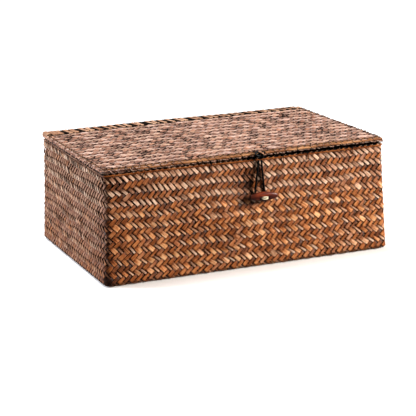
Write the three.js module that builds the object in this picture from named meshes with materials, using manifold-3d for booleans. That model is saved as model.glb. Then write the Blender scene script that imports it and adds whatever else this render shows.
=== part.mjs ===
// Woven box with a strapped lid, a cord loop and a toggle.
// Millimetres, +Z up. The origin is on the floor under the middle of the box,
// the long front faces -Y and the hinge runs along the rear.
import * as THREE from "three";
import { mergeVertices } from "three/addons/utils/BufferGeometryUtils.js";
import Module from "manifold-3d";

const wasm = await Module();
wasm.setup();

// Box as a whole
const boxLength = 310;
const boxDepth = 210;
const rimHeight = 110;
const boxCornerRadius = 10;
const floorEdgeRadius = 5;

// Woven mats and the split strips that bind them
const wallMatThickness = 1.8;
const lidThickness = 3.5;
const lidCornerRadius = 6;
const bindingThickness = 0.8;
const bindingLegDepth = 3;
const bindingBevel = 0.5;
const edgeBandThickness = 0.6;
const edgeBandLip = 4;

// Wire frames
const rimWireDiameter = 2.2;
const frameWireDiameter = 2.2;
const lidWireDiameter = 1.7;
const postHeadroom = 15;
const liningNarrowing = 6;

// Ties that hold the rim wire down
const tieDiameter = 0.9;

// Hinge: a strip wound around the rim wire and the lid's rear wire
const hingeStripWidth = 4.8;
const hingeStripThickness = 0.8;
const hingePitch = 10.3;
const hingeSpan = 11;
const hingeEndMargin = 2;
const lidSideSetback = 4.5;

// Toggle, sewn to the front
const toggleLength = 31;
const toggleHeight = 8.5;
const toggleEndHeight = 4;
const toggleDepth = 5.5;
const toggleEndDepth = 3.2;
const toggleX = 14;
const toggleZ = 75;
const toggleHoleSpacing = 8.9;
const toggleThreadDiameter = 1.2;
const shankDiameter = 1.6;
const shankKnotDiameter = 3.6;

// Cord loop and its knot
const cordDiameter = 1.8;
const knotX = 12;
const knotWidth = 12.4;
const knotHeight = 8.6;
const knotRise = 0.8;
const knotSetIn = 6.2;

// Clearances
const seatGap = 0.3;
const hingeGap = 0.3;
const cutOverrun = 1;

// Counts of facets
const cornerSteps = 6;
const wireSides = 8;
const boreSides = 10;

// Sizes that follow from those above
const halfLength = boxLength / 2;
const halfDepth = boxDepth / 2;
const rimWireRadius = rimWireDiameter / 2;
const frameWireRadius = frameWireDiameter / 2;
const lidWireRadius = lidWireDiameter / 2;
const cordRadius = cordDiameter / 2;
const tieRadius = tieDiameter / 2;

const wallInset = bindingThickness + seatGap;
const liningInset = wallInset + wallMatThickness + seatGap;
const bindingWidth = liningInset + wallMatThickness + seatGap + bindingThickness;
const wallTop = rimHeight - bindingThickness - seatGap;
const liningFloor = wallMatThickness + seatGap;
const innerFaceInset = liningInset + wallMatThickness;

const turnRadius = rimWireRadius + hingeGap + hingeStripThickness;
const rimWireInset = turnRadius + seatGap;
const rimWireZ = rimHeight + seatGap + rimWireRadius;
const lidBottom = rimWireZ + rimWireRadius + seatGap + tieDiameter + seatGap;
const lidTop = lidBottom + lidThickness;
const lidMiddle = lidBottom + lidThickness / 2;

const pinY = halfDepth - rimWireInset;
const pinZ = lidMiddle;
const rimWireRise = pinZ - rimWireZ;
const rimRise = pinZ - turnRadius - seatGap - rimHeight;
const lidRearWireY = pinY - hingeSpan;
const lidWireInset = edgeBandThickness + seatGap + lidWireRadius;
const lidMatInset = lidWireInset + lidWireRadius + seatGap;
const lidFieldInset = edgeBandLip + seatGap;
const lidTurnRadius = lidWireRadius + hingeGap + hingeStripThickness;
const lidMatRear = lidRearWireY - lidTurnRadius - seatGap;
const lidSideRear = pinY - lidSideSetback;

const fabricLook = { roughness: 0.62, metalness: 0 };
const looks = {
  wall: { color: 0xb27a4c, ...fabricLook },
  lining: { color: 0x9c6c46, ...fabricLook },
  lid: { color: 0xb18c79, ...fabricLook },
  binding: { color: 0xa8662f, roughness: 0.5, metalness: 0 },
  wire: { color: 0x14130f, roughness: 0.35, metalness: 0.6 },
  strip: { color: 0xc49a6c, roughness: 0.55, metalness: 0 },
  tie: { color: 0x1c1815, roughness: 0.7, metalness: 0 },
  cord: { color: 0x121418, roughness: 0.55, metalness: 0 },
  toggle: { color: 0x6b2a1a, roughness: 0.25, metalness: 0 },
  thread: { color: 0xd9c9a8, roughness: 0.8, metalness: 0 },
};

function solidOf(geometry) {
  const bare = geometry.index ? geometry.toNonIndexed() : geometry.clone();
  bare.deleteAttribute("normal");
  bare.deleteAttribute("uv");
  const merged = mergeVertices(bare, 1e-4);
  const mesh = new wasm.Mesh({
    numProp: 3,
    vertProperties: merged.attributes.position.array,
    triVerts: new Uint32Array(merged.index.array),
  });
  return new wasm.Manifold(mesh);
}

function geometryOf(solid) {
  const mesh = solid.getMesh();
  const geometry = new THREE.BufferGeometry();
  geometry.setAttribute("position", new THREE.BufferAttribute(mesh.vertProperties, mesh.numProp));
  geometry.setIndex(new THREE.BufferAttribute(mesh.triVerts, 1));
  return geometry;
}

function part(name, solid, look) {
  const geometry = geometryOf(solid);
  geometry.computeVertexNormals();
  const mesh = new THREE.Mesh(geometry, new THREE.MeshStandardMaterial(look));
  mesh.name = name;
  return mesh;
}

function smooth(share) {
  const t = Math.min(1, Math.max(0, share));
  return t * t * (3 - 2 * t);
}

// A rounded rectangle, counter-clockwise from above. Each point also tells how far round
// its rear corner it is, because the rim climbs there to the height of the hinge.
function outline(halfX, front, rear, radius) {
  const corners = [
    { x: halfX - radius, y: front + radius, start: -Math.PI / 2 },
    { x: halfX - radius, y: rear - radius, start: 0 },
    { x: -halfX + radius, y: rear - radius, start: Math.PI / 2 },
    { x: -halfX + radius, y: front + radius, start: Math.PI },
  ];
  const riseStartShare = 1 / 6;
  const points = [];
  corners.forEach((corner, index) => {
    for (let step = 0; step <= cornerSteps; step++) {
      const share = step / cornerSteps;
      const angle = corner.start + (share * Math.PI) / 2;
      const towardsRear = index === 1 ? share : 1 - share;
      const climb = smooth((towardsRear - riseStartShare) / (1 - riseStartShare));
      points.push({
        x: corner.x + radius * Math.cos(angle),
        y: corner.y + radius * Math.sin(angle),
        climb: index === 1 || index === 2 ? climb : 0,
      });
    }
  });
  return points;
}

function boxOutline(inset, radius = boxCornerRadius - inset) {
  return outline(halfLength - inset, -halfDepth + inset, halfDepth - inset, radius);
}

function ringAt(points, z, rise = 0) {
  return points.map((p) => new THREE.Vector3(p.x, p.y, z + rise * p.climb));
}

// A closed skin through rings of equal length. The rings run up the outside and down the
// inside; a ring list that isn't closed gets a flat cap on its first and its last ring.
function loft(rings, closed) {
  const count = rings[0].length;
  const positions = rings.flat().flatMap((p) => [p.x, p.y, p.z]);
  const index = [];
  const steps = closed ? rings.length : rings.length - 1;
  for (let i = 0; i < steps; i++) {
    const low = i * count;
    const high = ((i + 1) % rings.length) * count;
    for (let j = 0; j < count; j++) {
      const next = (j + 1) % count;
      index.push(low + j, low + next, high + next);
      index.push(low + j, high + next, high + j);
    }
  }
  if (!closed) {
    const last = (rings.length - 1) * count;
    for (let j = 1; j < count - 1; j++) {
      index.push(0, j + 1, j);
      index.push(last, last + j, last + j + 1);
    }
  }
  const geometry = new THREE.BufferGeometry();
  geometry.setAttribute("position", new THREE.Float32BufferAttribute(positions, 3));
  geometry.setIndex(index);
  return solidOf(geometry);
}

function movedSolid(geometry, x, y, z) {
  geometry.translate(x, y, z);
  return solidOf(geometry);
}

function boxSolid(low, high) {
  const size = new THREE.Vector3().subVectors(high, low);
  const middle = new THREE.Vector3().addVectors(low, high).divideScalar(2);
  const geometry = new THREE.BoxGeometry(size.x, size.y, size.z);
  return movedSolid(geometry, middle.x, middle.y, middle.z);
}

// A round bar whose middle is at the given place, lying along one axis.
function bar(radius, length, along, place, sides) {
  const geometry = new THREE.CylinderGeometry(radius, radius, length, sides);
  if (along === "x") geometry.rotateZ(Math.PI / 2);
  if (along === "z") geometry.rotateX(Math.PI / 2);
  return movedSolid(geometry, place.x, place.y, place.z);
}

function tube(curve, radius, sides, steps) {
  const section = new THREE.Shape();
  for (let i = 0; i < sides; i++) {
    const angle = (i / sides) * 2 * Math.PI;
    const point = [radius * Math.cos(angle), radius * Math.sin(angle)];
    if (i === 0) section.moveTo(...point);
    else section.lineTo(...point);
  }
  const options = { steps, extrudePath: curve, bevelEnabled: false };
  return solidOf(new THREE.ExtrudeGeometry(section, options));
}

// A round wire bent to an outline: the section's corners are outlines of their own.
function wireLoop(outlineAt, inset, radius, z, rise) {
  const rings = [];
  for (let i = 0; i < wireSides; i++) {
    const angle = ((i + 0.5) / wireSides) * 2 * Math.PI;
    const ring = outlineAt(inset - radius * Math.cos(angle));
    rings.push(ringAt(ring, z + radius * Math.sin(angle), rise));
  }
  return loft(rings, true);
}

// Wire nested between two rounded mats: how far its middle is from the outer mat's
// sharp corner, along each side, and how round the inner mat has to be to clear it.
function nest(outerRadius) {
  const reach = (frameWireRadius + seatGap) / Math.SQRT2;
  const setIn = outerRadius * (1 - Math.SQRT1_2) + reach;
  const room = frameWireRadius + seatGap + (setIn - seatGap) * Math.SQRT2;
  return { setIn, innerRadius: room / (Math.SQRT2 - 1) };
}

const cornerNest = nest(boxCornerRadius - wallInset - wallMatThickness);
const edgeNest = nest(floorEdgeRadius - wallMatThickness);
const frameWireInset = wallInset + wallMatThickness + edgeNest.setIn;
const frameWireZ = wallMatThickness + edgeNest.setIn;

// The quarter round from the floor up to a wall, as outlines.
function floorEdge(inset, z, edgeRadius, cornerRadius, steps) {
  const rings = [];
  for (let i = 0; i <= steps; i++) {
    const angle = ((i / steps) * Math.PI) / 2;
    const moved = edgeRadius * (1 - Math.sin(angle));
    const height = z + edgeRadius * (1 - Math.cos(angle));
    rings.push(ringAt(boxOutline(inset + moved, cornerRadius - moved), height));
  }
  return rings;
}

function toggleBore() {
  const radius = shankDiameter / 2 + seatGap;
  const length = bindingWidth + 2 * cutOverrun;
  const place = { x: toggleX, y: -halfDepth + bindingWidth / 2, z: toggleZ };
  return bar(radius, length, "y", place, boreSides);
}

// Where the ties stand: along the front, and along each side.
const frontTieShares = [-0.72, -0.26, 0.25, 0.43, 0.76];
const sideTieShares = [-0.5, 0.35];

function tiePlaces() {
  const middle = halfDepth - bindingWidth / 2;
  const side = halfLength - bindingWidth / 2;
  const places = frontTieShares.map((share) => {
    return { x: share * halfLength, y: -middle, along: "y" };
  });
  for (const sign of [-1, 1]) {
    for (const share of sideTieShares) {
      places.push({ x: sign * side, y: share * halfDepth, along: "x" });
    }
  }
  return places;
}

const tieHoleZ = rimHeight - bindingLegDepth - seatGap - tieRadius;

function withWallBores(mat) {
  let bored = mat.subtract(toggleBore());
  for (const { x, y, along } of tiePlaces()) {
    const length = bindingWidth + 2 * cutOverrun;
    const bore = bar(tieRadius + seatGap, length, along, { x, y, z: tieHoleZ }, wireSides);
    bored = bored.subtract(bore);
  }
  return bored;
}

function outerBasket() {
  const outerCorner = boxCornerRadius - wallInset;
  const innerCorner = outerCorner - wallMatThickness;
  const inset = wallInset + wallMatThickness;
  const edge = floorEdgeRadius - wallMatThickness;
  const outside = floorEdge(wallInset, 0, floorEdgeRadius, outerCorner, 3);
  outside.push(ringAt(boxOutline(wallInset), wallTop, rimRise));
  const inside = floorEdge(inset, wallMatThickness, edge, innerCorner, 3);
  inside.push(ringAt(boxOutline(inset), wallTop, rimRise));
  return part("outer_basket", withWallBores(loft([...outside, ...inside.reverse()])), looks.wall);
}

// The lining is rounder than the outer basket where the posts and the base wire run,
// and takes up the rim's own corner radius above the posts.
function liningFace(inset, floor, edgeRadius, cornerRadius) {
  const rings = floorEdge(inset, floor, edgeRadius, cornerRadius, 4);
  const postTop = rimHeight - postHeadroom;
  rings.push(ringAt(boxOutline(inset, cornerRadius), postTop));
  rings.push(ringAt(boxOutline(inset), postTop + liningNarrowing));
  rings.push(ringAt(boxOutline(inset), wallTop, rimRise));
  return rings;
}

function lining() {
  const corner = cornerNest.innerRadius;
  const edge = edgeNest.innerRadius;
  const mat = wallMatThickness;
  const outside = liningFace(liningInset, liningFloor, edge, corner);
  const inside = liningFace(liningInset + mat, liningFloor + mat, edge - mat, corner - mat);
  return part("lining", withWallBores(loft([...outside, ...inside.reverse()])), looks.lining);
}

function rimBinding() {
  const low = rimHeight - bindingLegDepth;
  const under = rimHeight - bindingThickness;
  const inner = bindingWidth - bindingThickness;
  const profile = [
    [0, low],
    [0, rimHeight - bindingBevel],
    [bindingBevel, rimHeight],
    [bindingWidth - bindingBevel, rimHeight],
    [bindingWidth, rimHeight - bindingBevel],
    [bindingWidth, low],
    [inner, low],
    [inner, under],
    [bindingThickness, under],
    [bindingThickness, low],
  ];
  const rings = profile.map(([inset, z]) => ringAt(boxOutline(inset), z, rimRise));
  return part("rim_binding", loft(rings, true), looks.binding);
}

function rimWire() {
  const solid = wireLoop(boxOutline, rimWireInset, rimWireRadius, rimWireZ, rimWireRise);
  return part("rim_wire", solid, looks.wire);
}

function baseWire() {
  const solid = wireLoop(boxOutline, frameWireInset, frameWireRadius, frameWireZ, 0);
  return part("base_wire", solid, looks.wire);
}

function cornerPosts() {
  const setIn = wallInset + wallMatThickness + cornerNest.setIn;
  const low = frameWireZ + frameWireRadius + seatGap;
  const high = rimHeight - postHeadroom;
  const corners = [
    ["front_left", -1, -1],
    ["front_right", 1, -1],
    ["rear_left", -1, 1],
    ["rear_right", 1, 1],
  ];
  return corners.map(([name, signX, signY]) => {
    const place = {
      x: signX * (halfLength - setIn),
      y: signY * (halfDepth - setIn),
      z: (low + high) / 2,
    };
    const solid = bar(frameWireRadius, high - low, "z", place, wireSides);
    return part("corner_post_" + name, solid, looks.wire);
  });
}

// A tie goes over the rim wire, down both sides of the binding and through the wall.
function rimTies() {
  const half = bindingWidth / 2 + seatGap + tieRadius;
  const low = tieHoleZ;
  const high = rimWireZ + rimWireRadius + seatGap + tieRadius;
  const overWire = rimWireRadius + seatGap + tieRadius;
  const wireOffset = bindingWidth / 2 - rimWireInset;
  return tiePlaces().map(({ x, y, along }, index) => {
    const outward = new THREE.Vector3();
    outward[along] = Math.sign(along === "y" ? y : x);
    const at = (out, z) => new THREE.Vector3(x, y, z).addScaledVector(outward, out);
    const corners = [
      at(-half, low),
      at(half, low),
      at(half, rimHeight),
      at(wireOffset + overWire, high - tieRadius),
      at(wireOffset, high),
      at(wireOffset - overWire, high - tieRadius),
      at(-half, rimHeight),
    ];
    return part("rim_tie_" + (index + 1), ringTube(corners, tieRadius, 6), looks.tie);
  });
}

// A closed tube with mitred corners through points that lie in one plane.
function ringTube(points, radius, sides) {
  const count = points.length;
  const side = new THREE.Vector3().subVectors(points[1], points[0]);
  const other = new THREE.Vector3().subVectors(points[2], points[1]);
  const normal = new THREE.Vector3().crossVectors(side, other).normalize();
  const rings = points.map((point, i) => {
    const before = new THREE.Vector3().subVectors(point, points[(i + count - 1) % count]).normalize();
    const after = new THREE.Vector3().subVectors(points[(i + 1) % count], point).normalize();
    const tangent = new THREE.Vector3().addVectors(before, after).normalize();
    const outward = new THREE.Vector3().crossVectors(normal, tangent);
    const stretch = 1 / Math.max(tangent.dot(after), Math.SQRT1_2);
    return Array.from({ length: sides }, (_, k) => {
      const angle = ((k + 0.5) / sides) * 2 * Math.PI;
      return point
        .clone()
        .addScaledVector(outward, radius * stretch * Math.cos(angle))
        .addScaledVector(normal, radius * Math.sin(angle));
    });
  });
  return loft(rings, true);
}

function lidOutline(inset, rear) {
  const radius = Math.max(lidCornerRadius - inset, lidThickness / 4);
  return outline(halfLength - inset, -halfDepth + inset, rear, radius);
}

function lidWire() {
  const rear = lidRearWireY + lidWireInset;
  const outlineAt = (inset) => lidOutline(inset, rear - inset);
  const solid = wireLoop(outlineAt, lidWireInset, lidWireRadius, lidMiddle, 0);
  return part("lid_wire", solid, looks.wire);
}

// Each mat fills half of the lid's thickness and thins at its edge to slip into the band.
function lidMat(name, faceZ) {
  const towardsMiddle = Math.sign(lidMiddle - faceZ);
  const stepZ = faceZ + towardsMiddle * (edgeBandThickness + seatGap);
  const backZ = lidMiddle - (towardsMiddle * seatGap) / 2;
  const fieldRear = lidMatRear - (lidFieldInset - lidMatInset);
  const rings = [
    ringAt(lidOutline(lidFieldInset, fieldRear), faceZ),
    ringAt(lidOutline(lidFieldInset, fieldRear), stepZ),
    ringAt(lidOutline(lidMatInset, lidMatRear), stepZ),
    ringAt(lidOutline(lidMatInset, lidMatRear), backZ),
  ];
  if (towardsMiddle < 0) rings.reverse();
  let solid = loft(rings);
  solid = solid.subtract(cordHole());
  if (towardsMiddle > 0) solid = solid.subtract(cordGroove());
  return part(name, solid, looks.lid);
}

function cordHole() {
  const place = { x: knotX, y: -halfDepth + knotSetIn, z: lidMiddle };
  const length = lidThickness + 2 * cutOverrun;
  return bar(cordRadius + seatGap, length, "z", place, boreSides);
}

// The cord bites into the lid's underside, so that it clears the rim wire.
const cordUnderZ = rimWireZ + rimWireRadius + seatGap + cordRadius;

function cordGroove() {
  const half = cordRadius + seatGap;
  const low = new THREE.Vector3(knotX - half, -halfDepth - cutOverrun, lidBottom - cutOverrun);
  const high = new THREE.Vector3(knotX + half, -halfDepth + knotSetIn, cordUnderZ + half);
  return boxSolid(low, high);
}

function lidEdgeBand() {
  const inner = lidTop - edgeBandThickness;
  const under = lidBottom + edgeBandThickness;
  const profile = [
    [0, lidBottom],
    [0, lidTop],
    [edgeBandLip, lidTop],
    [edgeBandLip, inner],
    [edgeBandThickness, inner],
    [edgeBandThickness, under],
    [edgeBandLip, under],
    [edgeBandLip, lidBottom],
  ];
  const rings = profile.map(([inset, z]) => ringAt(lidOutline(inset, halfDepth - inset), z));
  const low = new THREE.Vector3(-boxLength, lidSideRear, lidBottom - cutOverrun);
  const high = new THREE.Vector3(boxLength, boxDepth, lidTop + cutOverrun);
  const open = loft(rings, true).subtract(boxSolid(low, high)).subtract(cordGroove());
  return part("lid_edge_band", open, looks.binding);
}

// One strip winds around the rim wire and the lid's rear wire, from end to end.
// Most of each turn's advance is on the underside, so the top runs look nearly square.
function hingeWinding() {
  const straight = 2 * (halfLength - boxCornerRadius - hingeEndMargin);
  const turns = Math.floor(straight / hingePitch);
  const pitch = (straight - hingeStripWidth) / turns;
  const pinRadius = turnRadius - hingeStripThickness / 2;
  const lidRadius = lidTurnRadius - hingeStripThickness / 2;
  const topAdvanceShare = 0.25;
  const turn = [];
  const arcSteps = 6;
  for (let i = 0; i <= arcSteps; i++) {
    const angle = Math.PI / 2 - (i / arcSteps) * Math.PI;
    turn.push({ y: pinY, r: pinRadius, angle, advance: topAdvanceShare });
  }
  for (let i = 0; i <= arcSteps; i++) {
    const angle = -Math.PI / 2 - (i / arcSteps) * Math.PI;
    turn.push({ y: lidRearWireY, r: lidRadius, angle, advance: 1 });
  }
  const rings = [];
  for (let k = 0; k < turns; k++) {
    for (const { y, r, angle, advance } of turn) {
      const x = -straight / 2 + hingeStripWidth / 2 + (k + advance) * pitch;
      const corner = (side, out) => {
        const reach = r + (out * hingeStripThickness) / 2;
        return new THREE.Vector3(
          x + (side * hingeStripWidth) / 2,
          y + reach * Math.cos(angle),
          pinZ + reach * Math.sin(angle),
        );
      };
      rings.push([corner(1, 1), corner(1, -1), corner(-1, -1), corner(-1, 1)]);
    }
  }
  return part("hinge_winding", loft(rings), looks.strip);
}

// Toggle: a lens of polished wood with two holes through it, and a groove between them
// on each face, in which the thread lies half sunk.
const toggleThreadRadius = toggleThreadDiameter / 2;
const shankRadius = shankDiameter / 2;
const loopY = -halfDepth - seatGap - cordRadius;
const toggleBackY = loopY - cordRadius - seatGap - toggleThreadRadius;
const toggleFrontY = toggleBackY - toggleDepth;
const toggleY = (toggleBackY + toggleFrontY) / 2;

function toggleBar() {
  const stationShares = [-1, -0.97, -0.88, -0.7, -0.45, -0.2, 0, 0.2, 0.45, 0.7, 0.88, 0.97, 1];
  const sides = 14;
  const tipShare = 0.55;
  const rings = stationShares.map((share) => {
    const swell = Math.cos((share * Math.PI) / 2);
    const tip = Math.abs(share) === 1 ? tipShare : 1;
    const high = (tip * (toggleEndHeight + (toggleHeight - toggleEndHeight) * swell)) / 2;
    const deep = (tip * (toggleEndDepth + (toggleDepth - toggleEndDepth) * swell)) / 2;
    return Array.from({ length: sides }, (_, k) => {
      const angle = (k / sides) * 2 * Math.PI;
      const flatten = 1 / Math.pow(Math.abs(Math.cos(angle)) ** 3 + Math.abs(Math.sin(angle)) ** 3, 1 / 3);
      return new THREE.Vector3(
        toggleX + (share * toggleLength) / 2,
        toggleY + deep * flatten * Math.cos(angle),
        toggleZ + high * flatten * Math.sin(angle),
      );
    });
  });
  let solid = loft(rings);
  const cutRadius = toggleThreadRadius + seatGap;
  for (const sign of [-1, 1]) {
    const place = { x: toggleX + (sign * toggleHoleSpacing) / 2, y: toggleY, z: toggleZ };
    const length = toggleDepth + 2 * cutOverrun;
    solid = solid.subtract(bar(cutRadius, length, "y", place, boreSides));
  }
  for (const faceY of [toggleFrontY, toggleBackY]) {
    const place = { x: toggleX, y: faceY, z: toggleZ };
    solid = solid.subtract(bar(cutRadius, toggleHoleSpacing, "x", place, boreSides));
  }
  return part("toggle", solid, looks.toggle);
}

// The thread runs through both holes, then as one shank through the wall to a knot inside.
function toggleThread() {
  const half = toggleHoleSpacing / 2;
  const corners = [
    new THREE.Vector3(toggleX - half, toggleFrontY, toggleZ),
    new THREE.Vector3(toggleX + half, toggleFrontY, toggleZ),
    new THREE.Vector3(toggleX + half, toggleBackY, toggleZ),
    new THREE.Vector3(toggleX - half, toggleBackY, toggleZ),
  ];
  const knotRadius = shankKnotDiameter / 2;
  const knotY = -halfDepth + innerFaceInset + seatGap + knotRadius;
  const shankY = toggleBackY + toggleThreadRadius / 2;
  const place = { x: toggleX, y: (shankY + knotY) / 2, z: toggleZ };
  const shank = bar(shankRadius, knotY - shankY, "y", place, wireSides);
  const knot = movedSolid(new THREE.SphereGeometry(knotRadius, 10, 8), toggleX, knotY, toggleZ);
  const solid = ringTube(corners, toggleThreadRadius, 6).add(shank).add(knot);
  return part("toggle_thread", solid, looks.thread);
}

// Cord loop, as it lies around the toggle's shank: places across and up, in millimetres.
const loopTopZ = lidMiddle - knotHeight / 2 - knotRise - seatGap - cordRadius;
const loopTopY = loopY - seatGap;
const loopRoute = [
  [10.3, 0],
  [9.2, 9],
  [7.9, 18.5],
  [6.5, 27.5],
  [6.3, 32.5],
  [8.6, 36.2],
  [12.3, 37.4],
  [15.7, 36],
  [16.5, 32.5],
  [16.1, 27.5],
  [15.3, 18.5],
  [14.4, 9],
  [13.7, 0],
];

function elasticLoop() {
  const deepest = Math.max(...loopRoute.map(([, down]) => down));
  const points = loopRoute.map(([x, down]) => {
    const y = THREE.MathUtils.lerp(loopTopY, loopY, smooth((2 * down) / deepest));
    return new THREE.Vector3(x, y, loopTopZ - down);
  });
  const curve = new THREE.CatmullRomCurve3(points, false, "centripetal");
  let solid = tube(curve, cordRadius, wireSides, 34);
  for (const end of [points[0], points[points.length - 1]]) {
    const cap = new THREE.SphereGeometry(cordRadius, wireSides, 6);
    solid = solid.add(movedSolid(cap, end.x, end.y, end.z));
  }
  return part("elastic_loop", solid, looks.cord);
}

// The knot is an overhand knot drawn flat against the lid's edge, on a turn of cord
// that goes over the edge and up through the mats.
function loopKnot() {
  const knotDepth = 2 * cordDiameter + seatGap;
  const frontY = -halfDepth - seatGap - cordRadius;
  const knotZ = lidMiddle - knotRise;
  const overhand = [];
  const count = 30;
  for (let i = 0; i < count; i++) {
    const t = (i / count) * 2 * Math.PI;
    const acrossShare = (Math.sin(t) + 2 * Math.sin(2 * t)) / 2.76;
    const upShare = (Math.cos(t) - 2 * Math.cos(2 * t) + 0.44) / 2.56;
    const outShare = -Math.sin(3 * t);
    overhand.push(new THREE.Vector3(
      knotX + (acrossShare * (knotWidth - cordDiameter)) / 2,
      frontY - knotDepth / 2 + (outShare * (knotDepth - cordDiameter)) / 2,
      knotZ + (upShare * (knotHeight - cordDiameter)) / 2,
    ));
  }
  const curve = new THREE.CatmullRomCurve3(overhand, true, "centripetal");
  const knot = closedTube(curve, cordRadius, 7, 44);
  const topZ = lidTop + seatGap + cordRadius;
  const backY = -halfDepth + knotSetIn;
  const turn = [
    new THREE.Vector3(knotX, frontY, cordUnderZ),
    new THREE.Vector3(knotX, backY, cordUnderZ),
    new THREE.Vector3(knotX, backY, topZ),
    new THREE.Vector3(knotX, frontY, topZ),
  ];
  return part("loop_knot", ringTube(turn, cordRadius, wireSides).add(knot), looks.cord);
}

function closedTube(curve, radius, sides, steps) {
  const frames = curve.computeFrenetFrames(steps, true);
  const rings = [];
  for (let i = 0; i < steps; i++) {
    const point = curve.getPointAt(i / steps);
    rings.push(Array.from({ length: sides }, (_, k) => {
      const angle = (k / sides) * 2 * Math.PI;
      return point
        .clone()
        .addScaledVector(frames.normals[i], radius * Math.cos(angle))
        .addScaledVector(frames.binormals[i], radius * Math.sin(angle));
    }));
  }
  return loft(rings, true);
}

const box = new THREE.Group();
box.name = "box";
box.add(outerBasket(), lining(), rimBinding(), rimWire(), baseWire());
box.add(...cornerPosts(), ...rimTies());

const toggle = new THREE.Group();
toggle.name = "toggle_assembly";
toggle.add(toggleBar(), toggleThread());

const lid = new THREE.Group();
lid.name = "lid";
lid.add(lidMat("lid_top_mat", lidTop), lidMat("lid_under_mat", lidBottom));
lid.add(lidWire(), lidEdgeBand(), hingeWinding(), loopKnot(), elasticLoop());

const wovenBox = new THREE.Group();
wovenBox.name = "woven_box";
wovenBox.add(box, toggle, lid);

export default wovenBox;
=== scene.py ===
import math

import bpy
import numpy as np
from mathutils import Matrix


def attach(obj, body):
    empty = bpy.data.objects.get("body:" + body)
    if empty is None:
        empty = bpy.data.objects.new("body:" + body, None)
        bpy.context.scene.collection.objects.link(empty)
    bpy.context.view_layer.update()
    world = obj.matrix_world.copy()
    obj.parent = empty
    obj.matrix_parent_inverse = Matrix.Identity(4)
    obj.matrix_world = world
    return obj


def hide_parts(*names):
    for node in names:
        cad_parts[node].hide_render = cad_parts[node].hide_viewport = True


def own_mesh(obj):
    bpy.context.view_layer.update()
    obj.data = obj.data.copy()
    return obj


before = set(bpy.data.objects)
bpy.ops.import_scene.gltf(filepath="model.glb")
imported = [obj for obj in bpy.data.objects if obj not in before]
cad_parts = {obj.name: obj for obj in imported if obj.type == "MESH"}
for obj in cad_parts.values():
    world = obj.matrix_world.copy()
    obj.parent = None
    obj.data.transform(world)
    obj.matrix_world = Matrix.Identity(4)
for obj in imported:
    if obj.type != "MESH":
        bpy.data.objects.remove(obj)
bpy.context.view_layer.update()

MM = 0.001

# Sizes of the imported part, in millimetres
HALF_X, HALF_Y = 155.0, 105.0
RIM_Z = 110.0
RIM_RISE = 3.25  # how far the rear rim climbs to the hinge
LID_LOW, LID_TOP = 114.0, 117.5
PIN_Y, PIN_Z = 102.5, 115.75


def vec(*values):
    return np.array(values, float)


def smooth(t):
    t = np.clip(t, 0, 1)
    return t * t * (3 - 2 * t)


def unit(v):
    return v / np.maximum(np.linalg.norm(v, axis=-1, keepdims=True), 1e-12)


def rows(v):
    """Adds a last axis, so that one number for each point scales its coordinates."""
    return np.asarray(v)[..., None]


def circle(degrees):
    angle = math.radians(degrees)
    return math.cos(angle), math.sin(angle)


def full_turn(count):
    return np.linspace(0, 2 * math.pi, count, endpoint=False)


def run_along(line):
    """The line's length up to each of its points."""
    return np.concatenate([[0], np.cumsum(np.linalg.norm(np.diff(line, axis=0), axis=1))])


def add_object(name, data):
    made = bpy.data.objects.new(name, data)
    bpy.context.scene.collection.objects.link(made)
    return made


def aim(thing, *columns):
    """Turns a camera or a lamp by its right, up and back directions, and puts it in its place."""
    thing.matrix_world = Matrix([[float(c[i]) for c in columns] for i in range(3)] + [[0, 0, 0, 1]])


def photo_camera():
    """The camera fitted to the photograph: 416 pixels wide, 1620.258 pixels of focal length."""
    turn, tilt, roll = (math.radians(x) for x in (-21.801, 14.41, -1.681))
    back = vec(math.sin(turn) * math.cos(tilt), -math.cos(turn) * math.cos(tilt), math.sin(tilt))
    level = vec(math.cos(turn), math.sin(turn), 0)
    upright = np.cross(back, level)
    right = level * math.cos(roll) + upright * math.sin(roll)
    up = -level * math.sin(roll) + upright * math.cos(roll)
    data = bpy.data.cameras.new("photo_camera")
    data.sensor_width = 36
    data.lens = 36 * 1620.258 / 416
    data.clip_end = 20
    camera = add_object("photo_camera", data)
    aim(camera, right, up, back, (vec(0, 0, 55) - 2.774 * right - 16.211 * up + 1745.625 * back) * MM)
    bpy.context.scene.camera = camera


photo_camera()


# Meshes
class Skin:
    """Gathers grids of points, in millimetres, into one mesh."""

    def __init__(self):
        self.points, self.strand, self.quads, self.count = [], [], [], 0

    def grid(self, points, strand=None, wrap_rows=False, wrap_columns=False, caps=False):
        """points is rows x columns x 3. Faces look along rows x columns' cross product.
        strand holds (along, across, paleness, tone) for each point."""
        n, m = points.shape[:2]
        index = self.count + np.arange(n * m).reshape(n, m)
        if wrap_rows:
            index = np.vstack([index, index[:1]])
        if wrap_columns:
            index = np.hstack([index, index[:, :1]])
        quads = np.stack([index[:-1, :-1], index[1:, :-1], index[1:, 1:], index[:-1, 1:]], -1)
        self.quads += quads.reshape(-1, 4).tolist()
        if caps:
            self.quads += [index[0, :m].tolist(), index[-1, :m][::-1].tolist()]
        self.points.append(points.reshape(-1, 3))
        if strand is None:
            strand = np.zeros(4)
        self.strand.append(np.broadcast_to(strand, (n, m, 4)).reshape(-1, 4))
        self.count += n * m

    def piece(self, name, body, look, slot, creased=False):
        """creased keeps the strips' edges crisp."""
        mesh = bpy.data.meshes.new(name)
        mesh.from_pydata((np.concatenate(self.points) * MM).tolist(), [], self.quads)
        layer = mesh.attributes.new("strand", "FLOAT_COLOR", "POINT")
        layer.data.foreach_set("color", np.concatenate(self.strand).astype(np.float32).ravel())
        mesh.polygons.foreach_set("use_smooth", [True] * len(mesh.polygons))
        mesh.materials.append(looks[look])
        mesh.update()
        if creased:
            mesh.set_sharp_from_angle(angle=math.radians(42))
        made = add_object(name, mesh)
        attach(made, body)
        return made


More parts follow.
